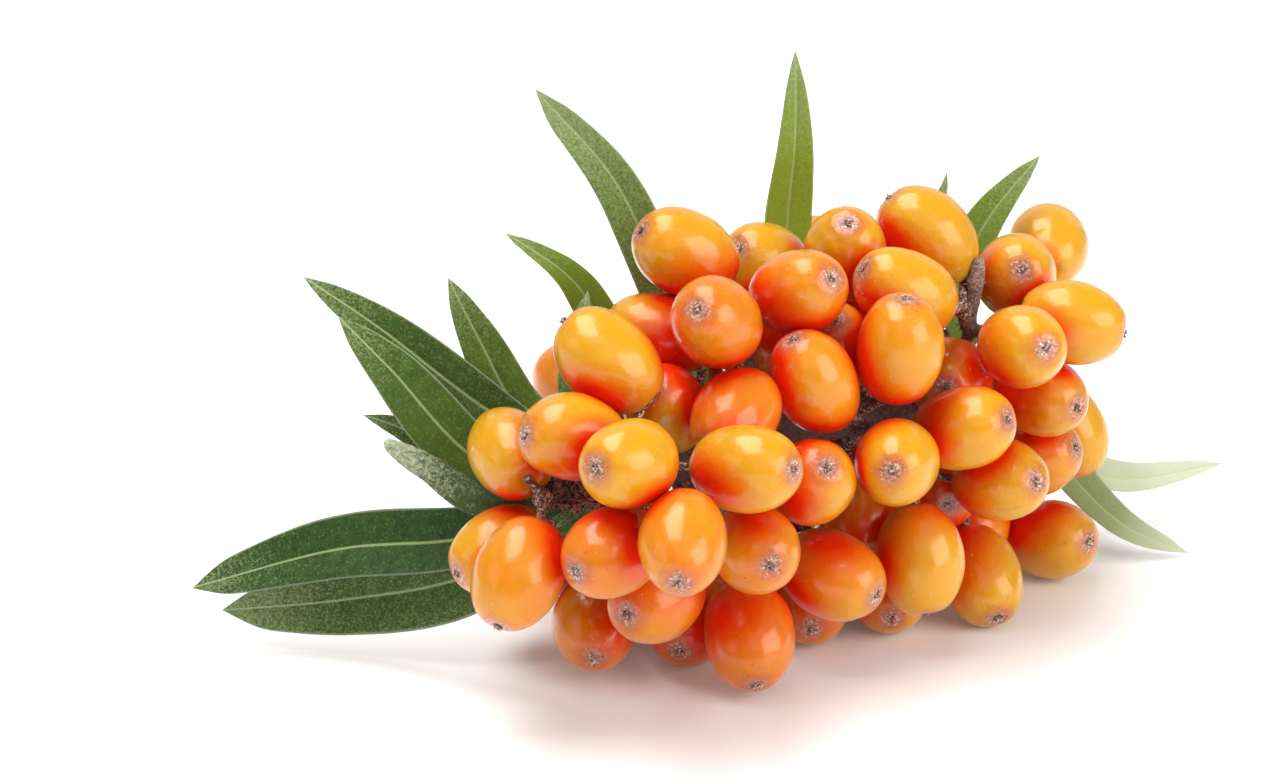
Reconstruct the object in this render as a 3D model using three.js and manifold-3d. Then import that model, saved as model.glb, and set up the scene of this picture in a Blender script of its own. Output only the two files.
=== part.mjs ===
// A cut sea buckthorn sprig lying on its side: one woody branch with short side shoots and a spine,
// a dense cylinder of oval berries in twos on forked stalks, and narrow lance-shaped leaves.
// Millimetres and degrees. X runs along the sprig, Y to the back and Z up from the surface it lies on.
import * as THREE from "three";
import { mergeVertices } from "three/addons/utils/BufferGeometryUtils.js";
import Module from "manifold-3d";

// ---- Driving dimensions ----
const BERRY_LENGTH = 11.4;
const BERRY_WIDTH = 8.5;
const BERRY_VARIATION = 0.04; // a berry is up to this share larger or smaller than the next
const VARIATION_SEED = 48;
const BERRY_SIDES = 8;
const BERRY_RINGS = 6;
const BERRY_FULLNESS = 0.92; // the power of the sine in a berry's outline: 1 is an ellipse, less is fuller
const SKIN_GAP = 0.2; // between berries, and between a berry and what it lies against
const PART_GAP = 0.35; // between two solids that meet end to end
const STALK_RADIUS = 0.45;
const STALK_FLARE = 1.2; // how much wider a stalk is at its bud
const STALK_SINK = 1.2; // how far a stalk runs into its berry
const BUD_RADIUS = 0.9;
const BUD_DEPTH = 2.6; // how far a bud lies inwards from the bases of its berries
const SHOOT_RADIUS = 0.75;
const SHOOT_TAPER = 0.8; // a shoot's end radius, as a share of its foot's
const LEAF_THICKNESS = 0.5;
const LEAF_THINNING = 0.4; // how much thinner the tip is than the stalk's end, as a share
const LEAF_HEEL = 0.15; // how much thicker the stalk's end is, each way
const LEAF_WIDEST = 0.85; // below 1 the blade is widest before its middle
const BLADE_CLEARANCE = 0.8; // berries keep this far from the middle of a blade, and the skin gap more
const LEAF_STATIONS = 11;
const LEAF_FOLD = 0.22; // how far the margins rise above the midrib, as a share of the half width
const PETIOLE_RADIUS = 0.55;
const PETIOLE_SHARE = 0.05; // of a leaf's length
// Faces along and round each rod of wood.
const STEM_STEPS = 14;
const STEM_SIDES = 10;
const TWIG_STEPS = 6;
const TWIG_SIDES = 6;
const SHOOT_SIDES = 5;
const STALK_SIDES = 4;
const BERRY_NODES = 42; // the berries share this many stalks

// The main stem from its bristly tip, front left, to its cut end, back right.
const STEM = [
  [-14, -15, 21],
  [0, -3, 21.5],
  [16, 7, 21.5],
  [27, 15, 20.5],
  [33, 21.5, 20.5],
  [36, 29, 24],
];
const STEM_TIP_RADIUS = 1.6;
const STEM_CUT_RADIUS = 2.2;
// A side twig that ends in a spine.
const TWIG = [
  [25, 13.5, 21],
  [27.5, 13, 27.5],
  [28, 12, 32.5],
  [28.5, 11, 37],
];
const TWIG_BEARING = 0.55; // the share of the twig that carries side shoots; the rest is bare spine
const TWIG_RADIUS = 1.1;
const SPINE_RADIUS = 0.3;

// Berries on the front, the top and the ends: the centre, then where the tip points, as a heading
// in plan from +X and a pitch above level. They move little when the cluster settles.
const OUTER_BERRIES = [
  [-18, -15, 25, 110, 10],
  [-12, -22, 29, -150, 15],
  [-7.5, -27, 29, -125, 10],
  [-19.5, -18, 17, -145, -15],
  [-15.5, -28, 17.7, -125, -50],
  [-10, -26, 20, -130, -5],
  [-2.5, -32, 22.5, -95, -25],
  [5, -20, 17, -75, 5],
  [4, -24, 27, -35, 10],
  [-4.5, -18, 11.5, -120, 0],
  [-10.5, -9, 5.5, -90, -20],
  [4.5, -14, 6, -80, -40],
  [13, -9, 10.5, -40, -10],
  [22, -4.5, 10.5, -70, -70],
  [29, 6, 5, -70, -35],
  [37, 17.5, 4.6, -45, 10],
  [30, -1, 17.5, -50, 15],
  [26, -4, 23.5, -35, 20],
  [19, -9, 22.5, -100, 10],
  [11.5, -12, 21.5, -75, 35],
  [3, -14, 29, -120, -20],
  [-9, -16, 34.5, 165, 40],
  [-4.5, -1, 33.5, 180, 10],
  [1.5, -12.5, 37.5, -115, 30],
  [-1.5, -2, 41.5, -160, 30],
  [6.5, 13, 34.8, -130, 30],
  [9.5, -4, 38.5, -50, 25],
  [15.5, 10, 38.5, -95, 50],
  [23.5, 11, 38.7, 175, 45],
  [20.5, 2, 36.5, -160, 30],
  [19.5, -6, 33, -60, 80],
  [11, -9, 30.5, -145, 60],
  [26.5, 7, 26, -105, 10],
  [32, 3, 30.5, -70, 15],
  [37.5, 11, 31.5, -10, -10],
  [33, 17.5, 33.8, -90, 20],
  [37, 26, 33.7, 90, 10],
  [35, 10, 23, -50, 0],
  [34.6, 15, 14.5, -30, 20],
];

// Berries deeper in the cluster, which show only between the outer ones.
const INNER_BERRIES = [
  [-1.5, -4, 4.5, -100, -15],
  [11, 4, 4.5, -90, -15],
  [19, 6.5, 4.5, -90, -15],
  [5.8, 4, 35.3, -130, 40],
  [14.5, 0, 31.5, -100, 50],
  [36.2, 25, 16.5, -10, -60],
  [25, 8, 13.5, -80, 0],
  [-3, -8, 30.5, -110, 40],
  [16.5, 3, 12.5, -80, -30],
  [13, 25, 31, 100, 40],
  [31.5, 16.5, 7.5, -90, -20],
  [-2, 8.5, 27.7, 150, 30],
];

// Berries round the back: rows along the stem, each at an angle round it from the front, over the top.
const BACK_ROWS = [
  { angle: 150, out: 13, from: 46, count: 2 },
  { angle: 168, out: 15.5, from: 17, count: 6 },
  { angle: 196, out: 14.5, from: 13, count: 6 },
  { angle: 224, out: 16, from: 8, count: 6 },
  { angle: 252, out: 16.5, from: 13, count: 6 },
];
const BACK_STEP = 9.8; // between berries in a row

// How readily a berry gives way to its neighbours, and how strongly it is drawn to its own place.
const OUTER_HOLD = { give: 0.15, draw: 0.05 };
const INNER_HOLD = { give: 1, draw: 0.02 };
const BACK_HOLD = { give: 1, draw: 0.01 };
// Rounds of settling, first as loose berries and then with their stalks in place.
const LOOSE_ROUNDS = 260;
const STALKED_ROUNDS = 160;
const DRAWN_SHARE = 0.7; // of the rounds; in the rest the berries only push each other apart

// Leaves: the midrib's points from the stalk to the tip, the full width, how slender the ends are
// (0.5 is blunt, 1 is a narrow wedge), where the upper side faces and how far the blade turns about
// its midrib from end to end.
const LEAVES = [
  { name: "leaf_left_1", width: 7, taper: 0.5, face: [-0.1, -0.8, 0.6], turn: 10,
    midrib: [[-13.5, -11.5, 18.6], [-23.3, -9, 14.3], [-36, -4.5, 11.5], [-51.4, -1, 6]] },
  { name: "leaf_left_2", width: 8, taper: 0.5, face: [0, -0.95, 0.3], turn: -10,
    midrib: [[-11.5, -10, 17.6], [-23, -8, 10], [-36, -3, 5.5], [-48.4, -1.5, 3.8]] },
  { name: "leaf_left_3", width: 5.4, taper: 0.7, face: [0.2, -0.9, 0.4], turn: 0,
    midrib: [[-11, -8.6, 22.5], [-19.8, -6.5, 26], [-32, -5, 35.1], [-39.1, -4, 39.8]] },
  { name: "leaf_left_4", width: 6, taper: 0.7, face: [0.1, -0.9, 0.3], turn: 10,
    midrib: [[-13.6, -10.6, 21.8], [-21.7, -10, 22.8], [-30.5, -8.5, 31.8], [-35.5, -7, 36.6]] },
  { name: "leaf_left_5", width: 5, taper: 0.7, face: [0.1, -0.9, 0.3], turn: -10,
    midrib: [[-9.4, -7.6, 23.6], [-17.5, -5, 26], [-22, -3, 33.2], [-24.9, -3, 39.4]] },
  { name: "leaf_left_6", width: 3.6, taper: 0.7, face: [-0.3, 0.7, -0.6], turn: 20,
    midrib: [[-15.6, -12.6, 20], [-20.9, -13.2, 19.6], [-26.5, -12.5, 23], [-30.9, -12.5, 25.6]] },
  { name: "leaf_left_7", width: 3.8, taper: 0.7, face: [0, -0.8, 0.5], turn: 0,
    midrib: [[-11.9, -9.2, 20], [-22.8, -6, 20.9], [-29.8, -4, 24.1], [-33.5, -4, 25.5]] },
  { name: "leaf_left_8", width: 4, taper: 0.7, face: [-0.3, -0.6, 0.7], turn: 15,
    midrib: [[-5.2, -5, 23.8], [-8, 1, 29.5], [-12.4, 0.5, 37.7], [-19.3, -2, 43.7]] },
  { name: "leaf_left_9", width: 3.8, taper: 0.7, face: [-0.7, -0.7, 0], turn: 0,
    midrib: [[-9.2, -10, 23.4], [-12.4, -8, 29], [-11.8, -6.5, 34.5], [-11.1, -6, 39]] },
  { name: "leaf_top_1", width: 5.1, taper: 0.5, face: [-0.2, -0.9, 0.3], turn: -15,
    midrib: [[1, -0.6, 24.2], [-1.8, 4, 31], [-5.3, 4.5, 40.5], [-8.8, 4.8, 47.6], [-16.4, 5, 56.5]] },
  { name: "leaf_top_2", width: 5, taper: 0.7, face: [0.1, -1, 0], turn: 10,
    midrib: [[10.4, 5.8, 23.6], [10, 15, 30], [9.2, 19, 37], [9.9, 18, 48], [9.8, 17.5, 57.5]] },
  { name: "leaf_top_3", width: 3.4, taper: 0.7, face: [-0.8, -0.6, 0], turn: 0,
    midrib: [[22, 13, 23.6], [24, 18.5, 32], [25.7, 20, 44]] },
  { name: "leaf_top_4", width: 4.8, taper: 0.7, face: [-0.4, -0.8, 0.4], turn: -10,
    midrib: [[29, 18, 22.8], [27.5, 23.5, 30], [30, 24, 37], [35.7, 24, 44.7]] },
  { name: "leaf_right_1", width: 4.6, taper: 0.7, face: [-0.1, -0.6, 0.8], turn: 10,
    midrib: [[37.4, 29.5, 22], [39.8, 32.5, 13], [42, 34, 7.5], [47, 35.5, 5], [58.3, 38, 6]] },
  { name: "leaf_right_2", width: 4.6, taper: 0.7, face: [0.3, -0.7, 0.6], turn: 0,
    midrib: [[34.2, 25.6, 19.2], [39.6, 28.5, 9], [46, 24.6, 3.4], [53, 24.5, 0.4]] },
  { name: "leaf_back_1", width: 5.2, taper: 0.7, face: [0.1, 0.6, 0.8], turn: 15,
    midrib: [[10.6, 5.9, 19.2], [11, 13, 10], [15, 26, 11], [21, 37, 6]] },
  { name: "leaf_back_2", width: 5, taper: 0.7, face: [-0.3, 0.6, 0.7], turn: -10,
    midrib: [[-5.5, -4.6, 20.6], [-9, 3.5, 20], [-15, 11, 16], [-26, 19, 8]] },
];

// ---- Materials ----
const berrySkin = new THREE.MeshStandardMaterial({ color: 0xee7d12, roughness: 0.35, metalness: 0 });
const bark = new THREE.MeshStandardMaterial({ color: 0x4a3027, roughness: 0.85, metalness: 0 });
const leafGreen = new THREE.MeshStandardMaterial({ color: 0x44602f, roughness: 0.7, metalness: 0 });

// ---- Helpers ----
const wasm = await Module();
wasm.setup();

const vector = (p) => new THREE.Vector3(...p);
const radians = THREE.MathUtils.degToRad;
const UP = new THREE.Vector3(0, 0, 1);

// A repeatable stream of numbers between -1 and 1.
function wobble(seed) {
  let state = seed;
  return () => {
    state = (state * 16807) % 2147483647;
    return (2 * state) / 2147483647 - 1;
  };
}

function pointing(heading, pitch) {
  const level = Math.cos(radians(pitch));
  return new THREE.Vector3(
    level * Math.cos(radians(heading)),
    level * Math.sin(radians(heading)),
    Math.sin(radians(pitch)),
  );
}

// A solid from a closed geometry, and a geometry back from a solid.
function solid(geometry) {
  const bare = new THREE.BufferGeometry();
  const loose = geometry.index ? geometry.toNonIndexed() : geometry;
  bare.setAttribute("position", loose.getAttribute("position"));
  const merged = mergeVertices(bare, 1e-4);
  return new wasm.Manifold(
    new wasm.Mesh({
      numProp: 3,
      vertProperties: merged.attributes.position.array,
      triVerts: new Uint32Array(merged.index.array),
    }),
  );
}

function geometryOf(made) {
  const mesh = made.getMesh();
  const geometry = new THREE.BufferGeometry();
  geometry.setAttribute("position", new THREE.BufferAttribute(mesh.vertProperties, 3));
  geometry.setIndex(new THREE.BufferAttribute(mesh.triVerts, 1));
  return geometry;
}

const joined = (solids) => solids.reduce((all, next) => all.add(next));

// A straight tapered rod with closed ends.
function rod(from, to, startRadius, endRadius, sides) {
  const run = new THREE.Vector3().subVectors(to, from);
  const geometry = new THREE.CylinderGeometry(endRadius, startRadius, run.length(), sides);
  geometry.translate(0, run.length() / 2, 0);
  geometry.applyQuaternion(
    new THREE.Quaternion().setFromUnitVectors(new THREE.Vector3(0, 1, 0), run.normalize()),
  );
  return geometry.translate(from.x, from.y, from.z);
}

// A closed body through rings of points, all with the same count, from ring to ring.
// A ring of one point is a pole.
function lofted(rings) {
  const positions = [];
  const triangle = (a, b, c) => positions.push(...a.toArray(), ...b.toArray(), ...c.toArray());
  for (let r = 0; r + 1 < rings.length; r += 1) {
    const near = rings[r];
    const far = rings[r + 1];
    const count = Math.max(near.length, far.length);
    for (let i = 0; i < count; i += 1) {
      const next = (i + 1) % count;
      if (far.length > 1 && near.length > 1) {
        triangle(near[i], near[next], far[next]);
        triangle(near[i], far[next], far[i]);
      } else if (near.length > 1) {
        triangle(near[i], near[next], far[0]);
      } else {
        triangle(near[0], far[next], far[i]);
      }
    }
  }
  const geometry = new THREE.BufferGeometry();
  geometry.setAttribute("position", new THREE.Float32BufferAttribute(positions, 3));
  return geometry;
}

// ---- The stem ----
const stemCurve = new THREE.CatmullRomCurve3(STEM.map(vector));
const twigCurve = new THREE.CatmullRomCurve3(TWIG.map(vector));
const stemRadius = (t) => THREE.MathUtils.lerp(STEM_TIP_RADIUS, STEM_CUT_RADIUS, t);
const twigRadius = (t) => THREE.MathUtils.lerp(TWIG_RADIUS, SPINE_RADIUS, t);

// A tapered tube along a curve, closed at both ends.
function taperedTube(curve, radiusAt, steps, sides) {
  const rings = [[curve.getPointAt(0)]];
  const frames = curve.computeFrenetFrames(steps, false);
  for (let s = 0; s <= steps; s += 1) {
    const centre = curve.getPointAt(s / steps);
    const radius = radiusAt(s / steps);
    rings.push(
      Array.from({ length: sides }, (_, i) => {
        const angle = (2 * Math.PI * i) / sides;
        return centre
          .clone()
          .addScaledVector(frames.normals[s], radius * Math.cos(angle))
          .addScaledVector(frames.binormals[s], radius * Math.sin(angle));
      }),
    );
  }
  rings.push([curve.getPointAt(1)]);
  return lofted(rings);
}

// The points along the stem and the twig that berries and shoots keep to or from.
const STEM_SAMPLES = 48;
const wood = [];
for (let s = 0; s <= STEM_SAMPLES; s += 1) {
  const t = s / STEM_SAMPLES;
  wood.push({ at: stemCurve.getPointAt(t), radius: stemRadius(t), bears: true });
}
for (let s = 0; s <= STEM_SAMPLES / 3; s += 1) {
  const t = (3 * s) / STEM_SAMPLES;
  wood.push({ at: twigCurve.getPointAt(t), radius: twigRadius(t), bears: t < TWIG_BEARING });
}
const nearestWood = (point) =>
  wood
    .filter((place) => place.bears)
    .reduce((best, next) =>
      next.at.distanceToSquared(point) < best.at.distanceToSquared(point) ? next : best,
    );

// ---- Leaves ----
// The half width of a blade at a share of its length: a short stalk, widest before the middle, then a point.
function halfWidth(share, { width, taper }) {
  const blade = Math.max(0, (share - PETIOLE_SHARE) / (1 - PETIOLE_SHARE));
  const swell = Math.sin(Math.PI * blade ** LEAF_WIDEST) ** taper;
  return Math.max(PETIOLE_RADIUS * (1 - share), (width / 2) * swell);
}

function leafFrames(leaf) {
  const curve = new THREE.CatmullRomCurve3(leaf.midrib.map(vector));
  return Array.from({ length: LEAF_STATIONS + 1 }, (_, s) => {
    const share = s / LEAF_STATIONS;
    const along = curve.getTangentAt(share);
    const face = vector(leaf.face);
    face.addScaledVector(along, -face.dot(along)).normalize();
    face.applyAxisAngle(along, radians(leaf.turn) * (share - 0.5));
    return {
      share,
      centre: curve.getPointAt(share),
      face,
      side: new THREE.Vector3().crossVectors(along, face),
      half: halfWidth(share, leaf),
    };
  });
}

// A blade with a thin margin, a slight fold along the midrib and the rib standing out below.
function leafGeometry(leaf) {
  const frames = leafFrames(leaf);
  const rings = frames.slice(0, -1).map(({ centre, face, side, half, share }) => {
    const lift = LEAF_FOLD * half * (half > PETIOLE_RADIUS ? 1 : 0);
    const thick = (LEAF_THICKNESS / 2) * (1 - LEAF_THINNING * share) + (share === 0 ? LEAF_HEEL : 0);
    const place = (across, up) =>
      centre.clone().addScaledVector(side, across * half).addScaledVector(face, up);
    return [
      place(-1, lift),
      place(-0.5, lift / 2 + thick),
      place(0, thick * 0.9),
      place(0.5, lift / 2 + thick),
      place(1, lift),
      place(0, -thick),
    ];
  });
  return lofted([[frames[0].centre], ...rings, [frames[LEAF_STATIONS].centre]]);
}

// Points over the blades that the berries keep off.
const bladePoints = LEAVES.flatMap((leaf) =>
  leafFrames(leaf).flatMap(({ centre, face, side, half }) =>
    [-0.9, -0.45, 0, 0.45, 0.9].map((across) => ({
      at: centre
        .clone()
        .addScaledVector(side, across * half)
        .addScaledVector(face, LEAF_FOLD * half * Math.abs(across)),
      radius: BLADE_CLEARANCE,
    })),
  ),
);

// ---- Berries ----
// Five balls on a berry's axis that fill its outline, for telling how close it lies to its neighbours.
const BALLS = [-0.94, -0.47, 0, 0.47, 0.94];

function berryAt(home, tip, size, hold) {
  const length = (BERRY_LENGTH / 2) * size;
  const width = (BERRY_WIDTH / 2) * size;
  const focus = length ** 2 - width ** 2;
  return {
    home,
    tip,
    size,
    hold,
    length,
    centre: home.clone(),
    balls: BALLS.map((share) => {
      const along = (share * focus) / length;
      return { along, radius: width * Math.sqrt(1 - along ** 2 / focus) };
    }),
    // How far the berry reaches below its centre.
    drop: Math.sqrt((length * tip.z) ** 2 + width ** 2 * (1 - tip.z ** 2)),
  };
}

const ballCentre = (berry, ball) => berry.centre.clone().addScaledVector(berry.tip, ball.along);
const baseOf = (berry) => berry.centre.clone().addScaledVector(berry.tip, -berry.length);

function berryPlaces() {
  const random = wobble(VARIATION_SEED);
  const size = () => 1 + BERRY_VARIATION * random();
  const placed = (rows, hold) =>
    rows.map(([x, y, z, heading, pitch]) =>
      berryAt(new THREE.Vector3(x, y, z), pointing(heading, pitch), size(), hold),
    );
  const berries = [...placed(OUTER_BERRIES, OUTER_HOLD), ...placed(INNER_BERRIES, INNER_HOLD)];
  const stemLength = stemCurve.getLength();
  for (const { angle, out, from, count } of BACK_ROWS) {
    for (let i = 0; i < count; i += 1) {
      const t = Math.min(1, (from + i * BACK_STEP) / stemLength);
      const along = stemCurve.getTangentAt(t);
      const front = new THREE.Vector3().crossVectors(along, UP).normalize();
      const outward = front
        .multiplyScalar(Math.cos(radians(angle)))
        .addScaledVector(UP, Math.sin(radians(angle)));
      const home = stemCurve.getPointAt(t).addScaledVector(outward, out);
      const tip = outward.clone().addScaledVector(along, 0.35 * random());
      tip.addScaledVector(UP, 0.35 * random()).normalize();
      berries.push(berryAt(home, tip, size(), BACK_HOLD));
    }
  }
  return berries;
}

// Moves a berry off a ball-shaped obstacle.
function clear(berry, obstacle, gap) {
  let worst = 0;
  const push = new THREE.Vector3();
  for (const ball of berry.balls) {
    const away = ballCentre(berry, ball).sub(obstacle.at);
    const overlap = ball.radius + obstacle.radius + gap - away.length();
    if (overlap > worst) {
      worst = overlap;
      push.copy(away).setLength(overlap);
    }
  }
  berry.centre.add(push);
}

function separate(a, b) {
  if (a.centre.distanceTo(b.centre) > BERRY_LENGTH * 1.1) return;
  let worst = 0;
  const push = new THREE.Vector3();
  for (const ballA of a.balls) {
    const centreA = ballCentre(a, ballA);
    for (const ballB of b.balls) {
      const away = ballCentre(b, ballB).sub(centreA);
      const overlap = ballA.radius + ballB.radius + SKIN_GAP - away.length();
      if (overlap > worst) {
        worst = overlap;
        push.copy(away).setLength(overlap);
      }
    }
  }
  const share = a.hold.give / (a.hold.give + b.hold.give);
  a.centre.addScaledVector(push, -share);
  b.centre.addScaledVector(push, 1 - share);
}

// Lets the berries push each other apart until none overlap. They give way front to back more
// readily than sideways, so the face of the cluster keeps its pattern.
function settle(berries, rounds, rods) {
  for (let round = 0; round < rounds; round += 1) {
    const pull = round < rounds * DRAWN_SHARE ? 1 : 0;
    for (const berry of berries) {
      const back = new THREE.Vector3().subVectors(berry.home, berry.centre);
      const draw = berry.hold.draw * pull;
      berry.centre.add(back.multiply(new THREE.Vector3(draw, draw / 5, draw)));
    }
    berries.forEach((a, i) => berries.slice(i + 1).forEach((b) => separate(a, b)));
    for (const berry of berries) {
      for (const obstacle of bladePoints) clear(berry, obstacle, SKIN_GAP);
      for (const obstacle of wood) clear(berry, obstacle, SKIN_GAP);
      for (const { points, owner } of rods()) {
        if (owner.includes(berry)) continue;
        for (const obstacle of points) clear(berry, obstacle, SKIN_GAP);
      }
      berry.centre.z = Math.max(berry.centre.z, berry.drop);
    }
  }
}

// Berries whose bases lie closest share a bud.
function stalks(berries) {
  const pairs = [];
  berries.forEach((a, i) =>
    berries.slice(i + 1).forEach((b) => {
      pairs.push({ a, b, apart: baseOf(a).distanceTo(baseOf(b)) });
    }),
  );
  pairs.sort((p, q) => p.apart - q.apart);
  const taken = new Set();
  const groups = [];
  for (const { a, b } of pairs) {
    if (berries.length - groups.length <= BERRY_NODES) break;
    if (taken.has(a) || taken.has(b)) continue;
    taken.add(a).add(b);
    groups.push([a, b]);
  }
  for (const berry of berries) if (!taken.has(berry)) groups.push([berry]);
  return groups;
}

// Where a group's bud lies, clear of the wood, and the shoot that carries it if the wood isn't close by.
function budOf(group) {
  const middle = new THREE.Vector3();
  for (const berry of group) middle.addScaledVector(baseOf(berry), 1 / group.length);
  const root = nearestWood(middle);
  const inward = root.at.clone().sub(middle);
  const room = inward.length() - root.radius - BUD_RADIUS - 2 * PART_GAP;
  const bud = middle.clone().add(inward.setLength(Math.max(0, Math.min(BUD_DEPTH, room))));
  for (const place of wood) {
    const away = bud.clone().sub(place.at);
    const overlap = place.radius + BUD_RADIUS + PART_GAP - away.length();
    if (overlap > 0) bud.add(away.setLength(overlap));
  }
  const reach = bud.clone().sub(root.at);
  const length = reach.length() - BUD_RADIUS - PART_GAP;
  const shootEnd = root.at.clone().add(reach.setLength(length));
  return { bud, shoot: length > root.radius + PART_GAP ? [root.at, shootEnd] : null };
}

function rodPoints(from, to, radius) {
  const steps = Math.max(2, Math.ceil(from.distanceTo(to)));
  return Array.from({ length: steps + 1 }, (_, i) => ({
    at: from.clone().lerp(to, i / steps),
    radius,
  }));
}

const berries = berryPlaces();
settle(berries, LOOSE_ROUNDS, () => []);
const groups = stalks(berries);
const stickRods = () =>
  groups.flatMap((group) => {
    const { bud, shoot } = budOf(group);
    const forks = group.map((berry) => ({
      owner: group,
      points: [{ at: bud, radius: BUD_RADIUS }, ...rodPoints(bud, baseOf(berry), STALK_RADIUS + 0.15)],
    }));
    if (shoot) forks.push({ owner: [], points: rodPoints(...shoot, SHOOT_RADIUS) });
    return forks;
  });
settle(berries, STALKED_ROUNDS, stickRods);

function berryGeometry(berry) {
  const profile = [new THREE.Vector2(0, -berry.length)];
  for (let r = 1; r <= BERRY_RINGS; r += 1) {
    const angle = Math.PI * (1 - r / (BERRY_RINGS + 1));
    const radius = (BERRY_WIDTH / 2) * berry.size * Math.sin(angle) ** BERRY_FULLNESS;
    profile.push(new THREE.Vector2(radius, berry.length * Math.cos(angle)));
  }
  profile.push(new THREE.Vector2(0, berry.length));
  const geometry = new THREE.LatheGeometry(profile, BERRY_SIDES);
  geometry.applyQuaternion(
    new THREE.Quaternion().setFromUnitVectors(new THREE.Vector3(0, 1, 0), berry.tip),
  );
  return geometry.translate(...berry.centre.toArray());
}

// The berries of one bud with their forked stalk, in one piece.
function berryCluster(group) {
  const { bud } = budOf(group);
  const knot = new THREE.IcosahedronGeometry(BUD_RADIUS, 0).translate(...bud.toArray());
  const forks = group.map((berry) => {
    const inside = baseOf(berry).addScaledVector(berry.tip, STALK_SINK);
    return rod(bud, inside, STALK_RADIUS * STALK_FLARE, STALK_RADIUS, STALK_SIDES);
  });
  return joined([...group.map(berryGeometry), knot, ...forks].map(solid));
}

// The branch: the main stem, the twig with its spine, and a short side shoot up to each bud.
function branchSolid() {
  const shoots = groups
    .map((group) => budOf(group).shoot)
    .filter(Boolean)
    .map(([root, end]) => rod(root, end, SHOOT_RADIUS, SHOOT_RADIUS * SHOOT_TAPER, SHOOT_SIDES));
  const main = taperedTube(stemCurve, stemRadius, STEM_STEPS, STEM_SIDES);
  const twig = taperedTube(twigCurve, twigRadius, TWIG_STEPS, TWIG_SIDES);
  return joined([main, twig, ...shoots].map(solid));
}

// ---- The sprig ----
const sprig = new THREE.Group();
function add(name, geometry, material) {
  const mesh = new THREE.Mesh(geometry, material);
  mesh.name = name;
  sprig.add(mesh);
}

add("branch", geometryOf(branchSolid()), bark);
for (const leaf of LEAVES) add(leaf.name, leafGeometry(leaf), leafGreen);
groups.forEach((group, i) =>
  add(`berry_cluster_${String(i + 1).padStart(2, "0")}`, geometryOf(berryCluster(group)), berrySkin),
);

// The origin is the middle of the box's underside, where the sprig lies.
const box = new THREE.Box3().setFromObject(sprig);
const middle = box.getCenter(new THREE.Vector3());
sprig.position.set(-middle.x, -middle.y, -box.min.z);

const part = new THREE.Group();
part.add(sprig);

export default part;
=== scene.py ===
"""A cut sea buckthorn sprig: the looks of its berries, leaves and branch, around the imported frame."""

import math
import random

import bmesh
import bpy
from mathutils import Matrix, Vector, noise


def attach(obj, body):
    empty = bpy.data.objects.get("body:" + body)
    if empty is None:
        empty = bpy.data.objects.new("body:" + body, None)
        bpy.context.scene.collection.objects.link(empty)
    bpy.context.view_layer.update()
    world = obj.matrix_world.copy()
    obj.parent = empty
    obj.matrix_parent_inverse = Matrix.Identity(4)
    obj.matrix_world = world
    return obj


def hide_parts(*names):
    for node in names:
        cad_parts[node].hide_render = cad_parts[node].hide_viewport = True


bl_info = {
    "name": "Sea Buckthorn Sprig",
    "version": (1, 0, 0),
    "blender": (4, 5, 0),
    "location": "View3D > Sidebar > Sprig",
    "description": "Models the berries, leaves and branch of a sea buckthorn sprig around its packed solids",
    "category": "Object",
}

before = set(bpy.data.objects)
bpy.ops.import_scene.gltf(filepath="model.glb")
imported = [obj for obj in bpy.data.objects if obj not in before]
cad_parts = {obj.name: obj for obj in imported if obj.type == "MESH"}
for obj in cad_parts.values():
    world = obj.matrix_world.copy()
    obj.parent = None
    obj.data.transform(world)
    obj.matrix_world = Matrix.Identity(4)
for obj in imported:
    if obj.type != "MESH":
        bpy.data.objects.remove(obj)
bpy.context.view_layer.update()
BODY = "root"
MM = 0.001


def linear(code, alpha=1.0):
    """An sRGB hex colour as the linear colour that shaders use."""
    shares = [int(code[i : i + 2], 16) / 255 for i in (1, 3, 5)]
    return (*(c / 12.92 if c <= 0.04045 else ((c + 0.055) / 1.055) ** 2.4 for c in shares), alpha)


def colour(name, code, description):
    return bpy.props.FloatVectorProperty(
        name=name, description=description, subtype="COLOR", size=4, min=0, max=1, default=linear(code)
    )


def length(name, millimetres, description):
    return bpy.props.FloatProperty(
        name=name, description=description, unit="LENGTH", subtype="DISTANCE", default=millimetres * MM
    )


def amount(name, number, description):
    return bpy.props.IntProperty(name=name, description=description, min=6, default=number)


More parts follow.
